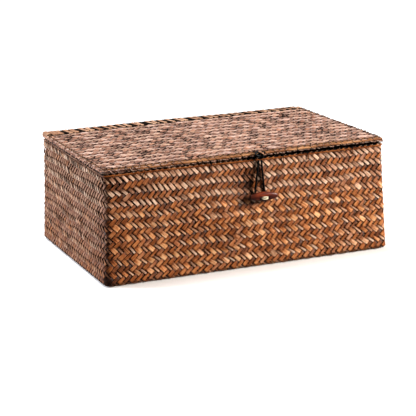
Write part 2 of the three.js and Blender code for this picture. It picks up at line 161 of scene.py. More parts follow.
def closed_piece(name, rings, body, look, slot):
    """A closed body through rings of points."""
    skin = Skin()
    skin.grid(np.array(rings)[::-1], wrap_columns=True, caps=True)
    return skin.piece(name, body, look, slot)


def strand_of(points, along, across, pale, tone=0.0):
    """The strand attribute for a grid of points."""
    strand = np.empty(points.shape[:2] + (4,))
    for i, values in enumerate((along, across, pale, tone)):
        strand[..., i] = values
    return strand


def catmull(points, per_span, closed=False):
    """A centripetal Catmull-Rom line through the points."""
    points = np.asarray(points, float)
    if closed:
        ends = np.concatenate([points[-1:], points, points[:2]])
    else:
        ends = np.concatenate([[2 * points[0] - points[1]], points, [2 * points[-1] - points[-2]]])
    out = []
    for i in range(1, len(ends) - 2):
        p0, p1, p2, p3 = ends[i - 1:i + 3]
        gaps = [max(np.linalg.norm(b - a), 1e-9) ** 0.5 for a, b in ((p0, p1), (p1, p2), (p2, p3))]
        k0, k1, k2, k3 = np.cumsum([0] + gaps)
        t = np.linspace(k1, k2, per_span, endpoint=False)[:, None]

        def mix(a, b, low, high):
            return (high - t) / (high - low) * a + (t - low) / (high - low) * b

        a1, a2, a3 = mix(p0, p1, k0, k1), mix(p1, p2, k1, k2), mix(p2, p3, k2, k3)
        out.append(mix(mix(a1, a2, k0, k2), mix(a2, a3, k1, k3), k1, k2))
    if not closed:
        out.append(points[-1:])
    return np.concatenate(out)


def even(line, step, closed=False):
    """The line's points moved to equal steps."""
    if closed:
        line = np.vstack([line, line[:1]])
    run = run_along(line)
    at = np.linspace(0, run[-1], max(4, int(round(run[-1] / step))) + 1)
    spaced = np.stack([np.interp(at, run, line[:, i]) for i in range(3)], 1)
    return spaced[:-1] if closed else spaced


def carried_frames(line, closed):
    """Two sideways directions for each point, carried along the line without twist."""
    ahead = np.roll(line, -1, 0) - np.roll(line, 1, 0)
    if not closed:
        ahead[0], ahead[-1] = line[1] - line[0], line[-1] - line[-2]
    ahead = unit(ahead)
    side = np.cross(ahead[0], vec(0, 0, 1) if abs(ahead[0][2]) < 0.9 else vec(1, 0, 0))
    sides = []
    for t in ahead:
        side = side - t * side.dot(t)
        side = side / np.linalg.norm(side)
        sides.append(side)
    sides = np.array(sides)
    if closed:
        last = sides[-1] - ahead[0] * sides[-1].dot(ahead[0])
        miss = math.atan2(np.cross(sides[0], unit(last)).dot(ahead[0]), sides[0].dot(unit(last)))
        turn = -miss * np.arange(len(line)) / len(line)
        sides = sides * rows(np.cos(turn)) + np.cross(ahead, sides) * rows(np.sin(turn))
    return sides, np.cross(ahead, sides)


def twisted(skin, line, radius, lobes=2, lay=4.2, depth=0.16, sides=14, closed=False, step=0.45):
    """A cord of twisted strands: a tube whose section has lobes and turns along its length."""
    line = even(line, step, closed)
    one, two = carried_frames(line, closed)
    run = np.arange(len(line)) * step
    turns = full_turn(len(line)) * max(1, round(run[-1] / lay)) if closed else 2 * math.pi * run / lay
    angle = full_turn(sides)
    phase = angle - rows(turns)
    reach = radius * (1 + depth * (np.abs(np.cos(lobes / 2 * phase)) - 0.9))
    if not closed:
        reach[[0, -1]] *= 0.6
    points = line[:, None] + one[:, None] * rows(reach * np.cos(angle)) + two[:, None] * rows(reach * np.sin(angle))
    strand = strand_of(points, rows(run), np.cos(lobes * phase), 0.5)
    skin.grid(points, strand, wrap_rows=closed, wrap_columns=True, caps=not closed)


# Materials
class Nodes:
    """A small helper for shader nodes."""

    def __init__(self, name, rough, **plain):
        self.material = bpy.data.materials.new(name)
        self.material.use_nodes = True
        self.tree = self.material.node_tree
        self.shader = self.tree.nodes["Principled BSDF"]
        self.shader.inputs["Roughness"].default_value = rough
        for key, value in plain.items():
            self.shader.inputs[key.replace("_", " ")].default_value = value

    def new(self, kind, **settings):
        node = self.tree.nodes.new(kind)
        for key, value in settings.items():
            setattr(node, key, value)
        return node

    def link(self, out, into):
        self.tree.links.new(out, into)

    def shade(self, name, out):
        self.link(out, self.shader.inputs[name])

    def feed(self, socket, value):
        if isinstance(value, bpy.types.NodeSocket):
            self.link(value, socket)
        else:
            socket.default_value = value

    def math(self, operation, a, b=0.0, c=0.0):
        node = self.new("ShaderNodeMath", operation=operation)
        for socket, value in zip(node.inputs, (a, b, c)):
            self.feed(socket, value)
        return node.outputs[0]

    def vector(self, x, y, z):
        node = self.new("ShaderNodeCombineXYZ")
        for socket, value in zip(node.inputs, (x, y, z)):
            self.feed(socket, value)
        return node.outputs[0]

    def split(self, vector):
        node = self.new("ShaderNodeSeparateXYZ")
        self.link(vector, node.inputs[0])
        return node.outputs

    def place(self):
        """The point in the object's own space, which is the whole model's."""
        return self.new("ShaderNodeTexCoord").outputs["Object"]

    def strand(self):
        node = self.new("ShaderNodeAttribute", attribute_name="strand")
        return *self.split(node.outputs["Vector"]), node.outputs["Alpha"]

    def noise(self, at, scale, detail, rough=0.5):
        node = self.new("ShaderNodeTexNoise")
        self.link(at, node.inputs["Vector"])
        for socket, value in (("Scale", scale), ("Detail", detail), ("Roughness", rough)):
            node.inputs[socket].default_value = value
        return node.outputs["Fac"]

    def ramp(self, fac, *stops):
        node = self.new("ShaderNodeValToRGB")
        self.feed(node.inputs[0], fac)
        elements = node.color_ramp.elements
        while len(elements) < len(stops):
            elements.new(0.5)
        for element, (at, colour) in zip(elements, stops):
            element.position = at
            element.color = (*colour, 1)
        return node.outputs["Color"]

    def even_ramp(self, fac, colours):
        return self.ramp(fac, *((i / (len(colours) - 1), colour) for i, colour in enumerate(colours)))

    def range(self, value, low, high, new_low, new_high):
        node = self.new("ShaderNodeMapRange")
        self.link(value, node.inputs[0])
        for socket, number in zip(node.inputs[1:5], (low, high, new_low, new_high)):
            socket.default_value = number
        return node.outputs[0]

    def tint(self, colour, fac):
        node = self.new("ShaderNodeMix", data_type="RGBA", blend_type="MULTIPLY")
        node.inputs[0].default_value = 1
        self.link(colour, node.inputs[6])
        self.link(self.vector(fac, fac, fac), node.inputs[7])
        return node.outputs[2]

    def blend(self, fac, one, two):
        node = self.new("ShaderNodeMix", data_type="RGBA")
        for socket, value in ((0, fac), (6, one), (7, two)):
            self.link(value, node.inputs[socket])
        return node.outputs[2]

    def bump(self, height, depth_mm):
        node = self.new("ShaderNodeBump")
        node.inputs["Strength"].default_value = 1.0
        node.inputs["Distance"].default_value = depth_mm * MM
        self.link(height, node.inputs["Height"])
        self.shade("Normal", node.outputs[0])


def rgb(r, g, b):
    """An sRGB colour of 0 to 255, as the shader wants it."""
    return tuple(((c / 255 + 0.055) / 1.055) ** 2.4 if c > 10 else c / 255 / 12.92 for c in (r, g, b))


def palette(*colours):
    return [rgb(*colour) for colour in colours]


def strip_material(name, colours, pale=None, rough=0.42, edge=0.9, sheen=0.17, soft=0.0):
    """Split leaf: long fibres, a tone for each float, a paler kind of strip, and edges that are
    darkened by edge as painted shade between the strips, less so by soft on pale strips."""
    n = Nodes(name, rough, Specular_IOR_Level=sheen)
    along, across, paleness, tone = n.strand()
    fibre_at = n.vector(n.math("MULTIPLY", along, 0.13), n.math("MULTIPLY", across, 2.6), 0.0)
    fibre = n.noise(fibre_at, 1.0, 3.0, 0.62)
    patch_at = n.vector(n.math("MULTIPLY", along, 0.10), n.math("MULTIPLY", across, 0.5), 50.0)
    patch = n.noise(patch_at, 1.0, 1.0)
    streak = n.range(fibre, 0.36, 0.64, 0.0, 0.5)
    mixed = n.math("ADD", streak, n.math("MULTIPLY", tone, 0.62))
    mixed = n.math("MULTIPLY_ADD", patch, 0.45, mixed)
    level = n.range(mixed, 0.25, 1.15, 0.0, 1.0)
    colour = n.even_ramp(level, colours)
    # painted sheen and light: the pinkish pale palette mixed in by paleness
    if pale:
        colour = n.blend(paleness, colour, n.even_ramp(level, pale))
    # painted shade: the strips' edges darkened where they meet and dive under their neighbours
    inside = n.range(n.math("ABSOLUTE", across), 0.66, 0.98, 0.0, edge)
    inside = n.math("MULTIPLY", inside, n.range(paleness, 0.2, 0.9, 1.0, 1.0 - soft))
    inside = n.math("SUBTRACT", 1.0, inside)
    n.shade("Base Color", n.tint(colour, inside))
    gloss = n.range(fibre, 0.3, 0.7, rough - 0.08, rough + 0.12)
    n.shade("Roughness", n.math("MAXIMUM", gloss, n.range(inside, 0.1, 0.9, 0.95, 0.3)))
    n.bump(fibre, 0.10)
    return n.material


def plain_material(name, colour, rough, noise_scale, spread=0.35, bump=0.05, **plain):
    """One material's colour with a fine grain."""
    n = Nodes(name, rough, **plain)
    grain = n.noise(n.place(), noise_scale, 4.0, 0.6)
    dark = tuple(c * (1 - spread) for c in colour)
    light = tuple(min(1, c * (1 + spread)) for c in colour)
    n.shade("Base Color", n.ramp(grain, (0.3, dark), (0.7, light)))
    n.shade("Roughness", n.range(grain, 0.3, 0.7, max(0.02, rough - 0.06), min(1, rough + 0.08)))
    n.bump(grain, bump)
    return n.material


def cord_material():
    n = Nodes("waxed_cord", 0.4, Specular_IOR_Level=0.1)
    along, lobe, strip, tone = n.strand()
    fibre = n.noise(n.vector(n.math("MULTIPLY", along, 1.2), n.math("MULTIPLY", lobe, 2.0), strip), 1.5, 3.0)
    colour = n.ramp(fibre, (0.3, rgb(4, 5, 6)), (0.75, rgb(14, 17, 20)))
    # painted shade: darker in the grooves between the twisted strands
    n.shade("Base Color", n.tint(colour, n.range(lobe, -1.0, 1.0, 0.25, 1.0)))
    n.bump(fibre, 0.08)
    return n.material


# The toggle's two holes: their middle, half their spacing, and their height
HOLES_X, HOLE_APART, HOLE_Z = 13.5, 4.2, 72.7


def wood_material():
    """Grain along the toggle, with painted shade below and round its holes, and darker towards its left tip."""
    n = Nodes("toggle_wood", 0.4, Coat_Weight=0.6, Coat_Roughness=0.1, Specular_IOR_Level=0.1)
    place = n.place()
    scale = n.new("ShaderNodeMapping")
    scale.inputs["Scale"].default_value = (60, 420, 420)
    n.link(place, scale.inputs["Vector"])
    grain = n.noise(scale.outputs[0], 1.0, 5.0, 0.6)
    colour = n.ramp(grain, (0.25, rgb(30, 8, 5)), (0.5, rgb(90, 30, 14)), (0.75, rgb(150, 66, 30)))
    x, y, z = n.split(place)
    beside = n.math("ABSOLUTE", n.math("SUBTRACT", x, HOLES_X * MM))
    beside = n.math("SUBTRACT", beside, HOLE_APART * MM)
    above = n.math("SUBTRACT", z, HOLE_Z * MM)
    near = n.math("SQRT", n.math("ADD", n.math("MULTIPLY", beside, beside), n.math("MULTIPLY", above, above)))
    # painted shade below the holes' level and round the holes; darker towards the left tip
    for shade in (
        n.range(above, -2.6 * MM, 2.6 * MM, 0.3, 1.0), n.range(x, 0.0, 7 * MM, 0.4, 1.0),
        n.range(near, 1.25 * MM, 1.8 * MM, 0.03, 1.0),
    ):
        colour = n.tint(colour, shade)
    n.shade("Base Color", colour)
    n.bump(grain, 0.04)
    return n.material


def tie_material():
    """Dark thread on the wire, brown with the strips' dust below it."""
    n = Nodes("tie_thread", 0.7, Specular_IOR_Level=0.1)
    place = n.place()
    grain = n.noise(place, 900, 4.0, 0.6)
    dark = n.ramp(grain, (0.3, rgb(12, 10, 8)), (0.7, rgb(26, 20, 16)))
    brown = n.ramp(grain, (0.3, rgb(96, 48, 18)), (0.7, rgb(140, 80, 36)))
    n.shade("Base Color", n.blend(n.range(n.split(place)[2], 0.1106, 0.1112, 0.0, 1.0), brown, dark))
    n.bump(grain, 0.05)
    return n.material


# SILVER, MAUVE and ROSE, the pale pinkish palettes, are painted sheen and the cool light on the sides and the lid top;
# SHADE is a painted shade copy of the lid's straw for its rising strips
GOLD = palette((52, 21, 9), (112, 57, 26), (162, 93, 52), (204, 132, 82), (232, 176, 126))
SILVER = palette((40, 20, 13), (120, 78, 56), (166, 118, 90), (202, 156, 128), (232, 200, 174))
AMBER = palette((44, 18, 7), (112, 57, 24), (162, 91, 46), (206, 134, 80))
MAUVE = palette((38, 20, 14), (118, 77, 59), (156, 110, 88), (192, 148, 122))
ROSE = palette((76, 48, 40), (146, 112, 99), (184, 150, 136), (212, 182, 167))
TAN = palette((66, 38, 28), (140, 101, 77), (178, 141, 117), (204, 170, 148))
SHADE = palette((34, 19, 15), (78, 51, 42), (120, 86, 72), (160, 122, 105))
LINING = palette((78, 48, 28), (122, 82, 50), (158, 112, 72), (182, 138, 96))
# FOLD is the straw's colour, darkened further as painted shade for the shade under the lid's edge
FOLD = palette((74, 30, 8), (112, 54, 18), (140, 74, 30), (164, 98, 48))
BAND = palette((60, 28, 10), (110, 62, 28), (152, 100, 60), (188, 138, 94))
WOUND = palette((84, 50, 32), (136, 92, 66), (172, 128, 98), (200, 160, 130))
looks = {
    "falling": strip_material("falling_strips", GOLD, SILVER, rough=0.40),
    "rising": strip_material("rising_strips", AMBER, MAUVE, rough=0.46, soft=0.75),
    "lid": strip_material("lid_strips", TAN, ROSE, rough=0.56, edge=1.0, sheen=0.14),
    "lid_low": strip_material("lid_low_strips", SHADE, MAUVE, rough=0.6, sheen=0.14),
    "lining": strip_material("lining_strips", LINING, rough=0.6),
    "fold": strip_material("fold_strip", FOLD, MAUVE, edge=0.3),
    "band": strip_material("band_strip", BAND, MAUVE, rough=0.5, edge=0.4),
    "winding": strip_material("winding_strips", WOUND, rough=0.45),
    # core: near-black, painted shade for what shows through the gaps of the weaves and the winding
    "core": plain_material("core", rgb(17, 10, 6), 0.9, 300, Specular_IOR_Level=0.03),
    "wire": plain_material("black_wire", rgb(8, 8, 9), 0.5, 220, Specular_IOR_Level=0.08),
    "cream": plain_material("cream_thread", rgb(232, 218, 186), 0.7, 1500, 0.2, 0.1),
    "tie": tie_material(),
    "cord": cord_material(),
    "wood": wood_material(),
}

# The cord loop: x, and how far down from the top of the loop
LOOP_TOP_Z = 109.45
LOOP_ROUTE = [
    (10.5, -1.6), (10.3, 0), (9.2, 9), (7.9, 18.5), (6.5, 27.5), (6.3, 32.5), (8.6, 36.2), (12.3, 37.4),
    (15.7, 36), (16.5, 32.5), (16.1, 27.5), (15.3, 18.5), (14.4, 9), (13.7, 0), (13.5, -1.6),
]


def cord_loop():
    deepest = max(down for x, down in LOOP_ROUTE)
    points = [(x, -106.5 + 0.3 * smooth(2 * down / deepest), LOOP_TOP_Z - down) for x, down in LOOP_ROUTE]
    line = even(catmull(points, 12), 0.6)
    skin = Skin()
    twisted(skin, line, 1.1)
    loop = skin.piece("cord_loop", "loop", "cord", "elastic_cord")
    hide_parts("elastic_loop")


cord_loop()

# Weaving. A strip's section is flat with turned-in edges: across from -1 to 1, and down.
rng = np.random.default_rng(11)
SECTION_V = vec(-1, -0.92, 0, 0.92, 1)
SECTION_DROP = vec(1, 0.12, 0, 0.12, 1)


def ribbon(skin, centre, normal, half, lift, tilt, pale, tone, thick, along0=0.0):
    """A strip along the centre line, lifted off it along the normal."""
    across = unit(np.cross(unit(np.gradient(centre, axis=0)), normal))
    leaning = across * rows(np.cos(tilt)) + normal * rows(np.sin(tilt))
    upright = normal * rows(np.cos(tilt)) - across * rows(np.sin(tilt))
    middle = centre + normal * rows(lift)
    points = middle[:, None] + leaning[:, None] * rows(rows(half) * SECTION_V[None])
    points = points - upright[:, None] * rows(thick * SECTION_DROP)
    skin.grid(points, strand_of(points, rows(along0 + run_along(centre)), SECTION_V, rows(pale), rows(tone)))


def between(values, at):
    """Values at whole numbers. A strip comes out slowly from under its neighbour and dives fast."""
    low = at.astype(int)
    high = np.minimum(low + 1, len(values) - 1)
    share = at - low
    share = np.where(values[high] < values[low], smooth((share - 0.45) / 0.5), smooth((share + 0.05) / 1.05))
    return values[low] + (values[high] - values[low]) * share


def from_corner(x, y):
    """How far a point of the walls is from the nearest corner."""
    return (HALF_X - np.abs(x)) + (HALF_Y - np.abs(y))


DENT_X, DENT_Z, DENT_DEEP = -3, 87, 2.6


def dent(x, z):
    """The front wall gives way a little beside the cord, where the toggle pulls on it."""
    return DENT_DEEP * np.exp(-((x - DENT_X) / 11) ** 2 - ((z - DENT_Z) / 14) ** 2)


def painted_shade(points):
    """Painted shade: darkens the strips beside the cord, where the cord and the toggle cast their shadow, and at the
    front left corner.
    """
    x, y, z = points.T
    # painted shade at the front left corner, and painted shadow of the cord and toggle beside the dent
    corner = 0.55 * np.exp(-from_corner(x, y) / 9) * ((x < 0) & (y < 0))
    return corner + 0.24 * dent(x, z) * (y < -95)


def steps_along(count, per_cross):
    """Crossing numbers, with per_cross steps from one crossing to the next."""
    return np.linspace(0, count - 1, int((count - 1) * per_cross) + 1)


def weave_strip(skin, at, centre, normal, over, half, pale, amplitude, tones, thick=0.8, leaf=0.2,
                lean=6.0, uneven=0.07, rough=1.0, painted_light_gradient=0.3, ends=(0.3, 0.3)):
    """One strip through its crossings. over says at which it lies on top, and at numbers its points.
    leaf is the narrowing of a float's ends, and ends says how much painted shade darkens it where it starts and stops."""
    state = between(np.where(over, 1.0, -1.0), at)
    # a number for each float, the run between two changes, so that it has one tone and tilt
    runs = np.concatenate([[0], np.cumsum(np.diff(over) != 0)])
    lengths = np.bincount(runs)
    starts = np.cumsum(lengths) - lengths
    floats = len(lengths)
    number = runs[np.round(at).astype(int)]
    tone = tones(rng.uniform(0, 1, floats)[number])
    tilt = np.radians(rng.normal(0, lean, floats))[number] * rough
    widths = 1 + rng.normal(0, uneven, floats)[number] * rough
    # the float's share along its length, which sets its painted light and shade
    painted_shading = np.clip((at - starts[number] + 0.5) / lengths[number], 0, 1)
    ease = np.abs(state)
    # painted shade at each float's ends, where it comes out from under its neighbour and dives under it again
    painted_end_shade = np.where(painted_shading < 0.5, *ends) * (1 - ease ** 2)
    # painted light: each float grows lighter along its length, towards the end where it dives under
    tone = np.clip(tone + painted_light_gradient * (painted_shading - 0.6) - painted_shade(centre) - painted_end_shade, -0.45, 1)
    half = half * widths * (1 - leaf * (1 - ease ** 2))
    pale = np.clip(pale + rng.normal(0, 0.22, floats)[number], 0, 1)
    ribbon(skin, centre, normal, half, amplitude * state, tilt * ease, pale, tone, thick, rng.uniform(0, 900))


# How far the walls stand out at the floor: left and right, front and rear
FLARE_X = (4.2, 2.6)
FLARE_Y = (4.0, 4.2)
SIDE_LIFT = 2.5
CORNER_SINKS = 4.2


def on_side(ny, climb):
    """One on the left and right sides, nought on the front and the rear."""
    return (1 - smooth((np.abs(ny) - 0.25) / 0.5)) * (1 - climb)


def rim_lift(x, ny, climb):
    """Where the walls' top stands up beside the rim wire: the sides and the front's left half."""
    side = on_side(ny, climb)
    return side + (1 - side) * (1 - climb) * (ny < 0) * (0.66 + 0.5 * (1 - smooth((x + 120) / 170)))


class Wall:
    """The walls' own coordinates: s runs round the box from the front's left end, seen from outside
    to the right, and h runs down from the rim, round the floor's edge and inwards."""

    def __init__(self, inset, corner, edge, low, outward=1, flare=1.0, side_lift=0.0):
        self.corner, self.edge, self.low, self.outward = corner, edge, low, outward
        self.flare, self.side_lift = flare, side_lift
        self.ax, self.ay = HALF_X - inset - corner, HALF_Y - inset - corner
        arc = corner * math.pi / 2
        self.breaks = np.cumsum([0] + [2 * self.ax, arc, 2 * self.ay, arc] * 2)
        self.length = self.breaks[-1]
        self.turn_h = RIM_Z - low - edge

    def round_at(self, s):
        """Place, outward direction and share of the rear rim's climb."""
        s = np.mod(s, self.length)
        part = np.clip(np.searchsorted(self.breaks, s, "right") - 1, 0, 7)
        side, bent = part // 2, part % 2 == 1
        base = side * math.pi / 2 - math.pi / 2
        angle = base + np.where(bent, (s - self.breaks[part]) / self.corner, 0)
        nx, ny = np.cos(angle), np.sin(angle)
        cx = np.choose(side, [self.ax, self.ax, -self.ax, -self.ax])
        cy = np.choose(side, [-self.ay, self.ay, self.ay, -self.ay])
        back = np.where(bent, 0, self.breaks[part + 1] - s)
        x = cx + self.corner * nx + np.sin(base) * back
        y = cy + self.corner * ny - np.cos(base) * back
        in_rear = np.where(side == 1, angle, math.pi - angle)
        climb = np.where((side == 1) & bent | (side == 2), smooth((in_rear / (math.pi / 2) - 1 / 6) * 1.2), 0)
        climb = np.where((side == 2) & ~bent, 1, climb)
        return x, y, nx, ny, climb

    def place(self, s, h):
        """Points and normals."""
        x, y, nx, ny, climb = self.round_at(s)
        h = h - self.side_lift * rim_lift(x, ny, climb) * (1 - smooth(h / 30))
        sunk = dent(x, RIM_Z - h) * (ny < -0.5)
        corner = np.exp(-from_corner(x, y) / 12) * ((x < 0) & (y < 0))
        sunk = sunk + CORNER_SINKS * corner * smooth(h / 12) * (1 - smooth((h - 75) / 33))
        x, y = x - nx * sunk, y - ny * sunk
        spread = self.flare * np.clip(h / RIM_Z, 0, 1) ** 1.3
        x = x + x / HALF_X * np.where(x < 0, *FLARE_X) * spread
        y = y + y / HALF_Y * np.where(y < 0, *FLARE_Y) * spread
        phi = np.clip((h - self.turn_h) / self.edge, 0, math.pi / 2)
        flat = np.maximum(h - self.turn_h - self.edge * math.pi / 2, 0)
        moved = self.edge * (1 - np.cos(phi)) + flat
        z = np.where(h < self.turn_h, RIM_Z - h, self.low + self.edge * (1 - np.sin(phi)))
        z = z * (1 + RIM_RISE * climb / RIM_Z)
        point = np.stack([x - nx * moved, y - ny * moved, z], -1)
        normal = np.stack([nx * np.cos(phi), ny * np.cos(phi), -np.sin(phi)], -1) * self.outward
        return point, normal


WAVES, WAVE_HEIGHT = 7, 45.0


def wave_field(seed, length, size):
    """A slow wander that closes round the box."""
    draw = np.random.default_rng(seed)
    turns = draw.integers(3, 22, WAVES)
    rates = draw.uniform(-1, 1, WAVES) * 2 * math.pi / WAVE_HEIGHT
    starts = draw.uniform(0, 2 * math.pi, WAVES)
    sizes = draw.uniform(0.4, 1, WAVES)
    sizes = size * sizes / sizes.sum() * 1.8

    def field(s, h):
        total = 0
        for k, rate, start, part in zip(turns, rates, starts, sizes):
            total = total + part * np.cos(2 * math.pi * k * s / length + rate * h + start)
        return total

    return field


def wall_weave(prefix, wall, strips, pitch, first, last_h, phase, half, materials, slot, per_cross=3,
               size=0.8, seed=5, amplitude=0.45):
    """Two families of strips: falling to the right, which are given back, and rising to the right.
    The front's falling strips are broad and narrow by turns from its middle down."""
    across = wall.length / strips
    sway, heave = wave_field(seed, wall.length, size), wave_field(seed + 1, wall.length, size)
    crossings = np.arange(int((last_h - first) / pitch))
    at = steps_along(len(crossings), per_cross)
    h = first + at * pitch
    fade = smooth(h / 12) * smooth((wall.turn_h - h) / 15)
    paired = smooth((h - 22) / 26)
    made = []
    for family, suffix, material in zip((1, -1), ("_falling", "_rising"), materials):
        falls = family == 1
        over = ((crossings + phase) % 4 < 2) == falls
        skin = Skin()
        broad = np.random.default_rng(seed + 2 + family).normal(1, 0.09, strips)
        for i in range(strips):
            odd = i % 2
            s = i * across + family * at * across / 2
            front = smooth((-wall.round_at(s)[3] - 0.2) / 0.6)
            closer = 4.8 * (np.clip(h, 0, RIM_Z) / 55 - 1) * np.sin(4 * math.pi * (s - wall.ax) / wall.length)
            centre, normal = wall.place(s + sway(s, h) + closer, h + heave(s, h) * fade)

            share = (0.42 if falls else 0.12) * front
            away = (0.22 if falls else 0.1) + 0.2 * (1 - paired)
            width = half * broad[i] * (1 + share * (1 - 2 * odd) * paired) * (1 - away * (1 - front))
            # paleness: the top rows, and the narrow strips below them, take the pinkish palette, on the top rows as a
            # painted sheen; the sides take it, with tones of their own, as painted cool light
            pale_front = (1 - paired * (1 - odd * 0.8)) * (1 if falls else 0.15)
            pale_side = (0.88 if falls else 0.96) - 0.35 * smooth((h - 50) / 60)

            def tones(draw):
                base, spread = (0.36, 0.58) if falls else (0.08, 0.75)
                front_tone = base + spread * draw + (0.1 - 0.08 * odd) * paired
                return front_tone * front + (0.74 + 0.4 * draw - 0.32 * paired) * (1 - front)

            weave_strip(skin, at, centre, normal, over, width, pale_front * front + pale_side * (1 - front), amplitude,
                        tones, leaf=0.2 - 0.15 * paired + 0.22 * (1 - front) * (1 - paired),
                        rough=1 + 0.9 * (1 - front) * (1 - smooth((h - 18) / 30)),
                        painted_light_gradient=0.5, ends=(0.6, 0.15) if falls else (0.5, 0.5))
        made.append(skin.piece(prefix + suffix, "box", material, slot, creased=True))
    return made[0]


PITCH = 2.925
outer = Wall(1.3, 5.8, 2.4, 1.35, side_lift=SIDE_LIFT)
outer_strips = wall_weave("wall", outer, 160, PITCH, 4.3 - 1.5 * PITCH, 123.0, -1, 1.9, ("falling", "rising"),
                          "woven_wall", size=1.15, amplitude=0.78)
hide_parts("outer_basket")
inner = Wall(4.3, 9.0, 7.2, 3.1, outward=-1, flare=0)
inner_strips = wall_weave("lining", inner, 150, 3.5, 1.2, 116.0, 0, 2.35, ("lining", "lining"),
                          "woven_lining", per_cross=2, seed=31)
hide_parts("lining")


def shell(name, wall, thickness, slot):
    """A thin closed skin behind a weave, with a floor, so that nothing shows through its gaps; its near-black colour
    is painted shade there.
    """
    s = np.linspace(0, wall.length, 260, endpoint=False)
    bend = wall.turn_h + wall.edge * math.pi / 2 * vec(0.25, 0.5, 0.75, 1)
    heights = np.concatenate([np.linspace(0.8, wall.turn_h, 24), bend, bend[-1:] + 6])
    point, normal = wall.place(*np.meshgrid(s, heights))
    skin = Skin()
    skin.grid(point, wrap_columns=True)
    skin.grid((point - normal * wall.outward * thickness)[::-1], wrap_columns=True)
    wide, second = len(s), skin.count // 2
    skin.quads += [list(range(second - wide, second))[::-1], list(range(second, second + wide))]
    rim = np.arange(wide)
    ahead, lower = np.roll(rim, -1), skin.count - wide
    skin.quads += np.stack([rim, ahead, lower + ahead, lower + rim], 1).tolist()
    skin.piece(name, "box", "core", slot)


shell("wall_core", Wall(2.35, 4.7, 1.6, 1.6), 0.25, "woven_wall")
shell("lining_core", Wall(3.2, 10.1, 8.3, 2.05, flare=0), 0.2, "woven_lining")


# Flat mats
def lid_warp(x, y):
    """The lid's front stands up a little towards the right."""
    return smooth((x + 130) / 260) * smooth((60 - y) / 150)


class FlatMat:
    """A flat mat whose weave turns over its edges. Steps are half a strip's spacing.
    edge_rise lifts its edges at the front and sides."""

    def __init__(self, low, high, steps, z, up, radius, corner, reach, warped=0, edge_rise=0.0):
        self.warped, self.edge_rise = warped, edge_rise
        self.low, self.high, self.steps = vec(*low), vec(*high), steps
        self.z, self.up, self.radius, self.corner, self.reach = z, up, radius, corner, reach
        self.middle, self.half = (self.low + self.high) / 2, (self.high - self.low) / 2

    def place(self, i, j):
        """Points and normals."""
        step = (self.high - self.low - 2 * self.radius) / vec(*self.steps)
        point = self.low + self.radius + np.stack([i, j], -1) * step - self.middle
        core = self.half - self.corner
        beyond = np.sign(point) * np.maximum(np.abs(point) - core, 0)
        far = np.hypot(beyond[..., 0], beyond[..., 1])
        some = np.maximum(far, 1e-6)
        flat = self.corner - self.radius
        phi = np.clip((far - flat) / self.radius, 0, self.reach)
        scale = np.where(far > 1e-6, (np.minimum(far, flat) + self.radius * np.sin(phi)) / some, 1)
        normal = np.concatenate([beyond / rows(some) * rows(np.sin(phi)), rows(self.up * np.cos(phi))], -1)
        point = np.clip(point, -core, core) + beyond * rows(scale) + self.middle
        x, y = point[..., 0], point[..., 1]
        rise = np.maximum(smooth((-93 - y) / 7), 0.9 * smooth((np.abs(x) - 143) / 7))
        z = self.z - self.up * self.radius * (1 - np.cos(phi)) + self.warped * lid_warp(x, y) + self.edge_rise * rise
        return np.concatenate([point, rows(z)], -1), normal


def lid_gaps(x, y):
    """How much narrower the lid's strips are at its slits and holes."""
    gap = 0
    for line in (-143, -129, 100, 117, 137):
        gap = gap + 0.34 * np.exp(-((x - line) / 1.7) ** 2)
    for hole in (-80, -74, -43, 5, 49):
        gap = gap + 0.6 * np.exp(-((x - hole) / 2.4) ** 2 - ((y + 3) / 2.4) ** 2)
    return np.minimum(gap, 0.7)


def mat_weave(prefix, mat, body, materials, slot, half, extra, per_cross=2, size=0.7, seed=3, mitred=True,
              amplitude=0.38, lean=5.0, uneven=0.06, loose=None):
    """Two families of strips across a flat mat, extra steps past its edges. It gives back the falling
    ones. A mitred mat's rows are parallel to each edge, and any other's to the front edge."""
    nx, ny = mat.steps
    field_x, field_y = wave_field(seed, 420, size), wave_field(seed + 1, 420, size)
    made = []
    for family, suffix, material in zip((1, -1), ("_falling", "_rising"), materials):
        falls = family == 1
        skin = Skin()
        for base in range(0, nx + ny + 1, 2) if falls else range(-ny, nx + 1, 2):
            first, last = (base - ny, base) if falls else (base, base + ny)
            low, high = max(0, first) - extra, min(nx, last) + extra
            if high - low < 2:
                continue

            def across_from(i):
                """The other coordinate, and how far in from the edges."""
                j = (base - i) if falls else (i - base)
                return j, np.minimum(np.minimum(i, nx - i), np.minimum(j, ny - j))

            i = np.arange(low, high + 1)
            j, inward = across_from(i)
            over = ((inward if mitred else j) % 4 < 2) == falls
            at = steps_along(len(over), per_cross)
            i = low + at
            j, inward = across_from(i)
            rim = smooth(inward / 4)
            centre, normal = mat.place(i + field_x(i * 3, j * 3) * rim / 3.2, j + field_y(i * 3, j * 3) * rim / 3.2)
            width = half * rng.normal(1, 0.06) * (1 - 0.05 * family)
            if loose:
                x, y = mat.low[0] + i / nx * 2 * mat.half[0], mat.low[1] + j / ny * 2 * mat.half[1]
                width = width * (1 - loose(x, y))

            def tones(draw):
                return 0.47 + 0.33 * draw if falls else 0.38 + 0.36 * draw

            weave_strip(skin, at, centre, normal, over, width, rng.uniform(0.2, 0.8),
                        amplitude * (0.3 + 0.7 * smooth(inward / 2)), tones, thick=0.9, lean=lean, uneven=uneven)
        made.append(skin.piece(prefix + suffix, body, material, slot, creased=True))
    return made[0]


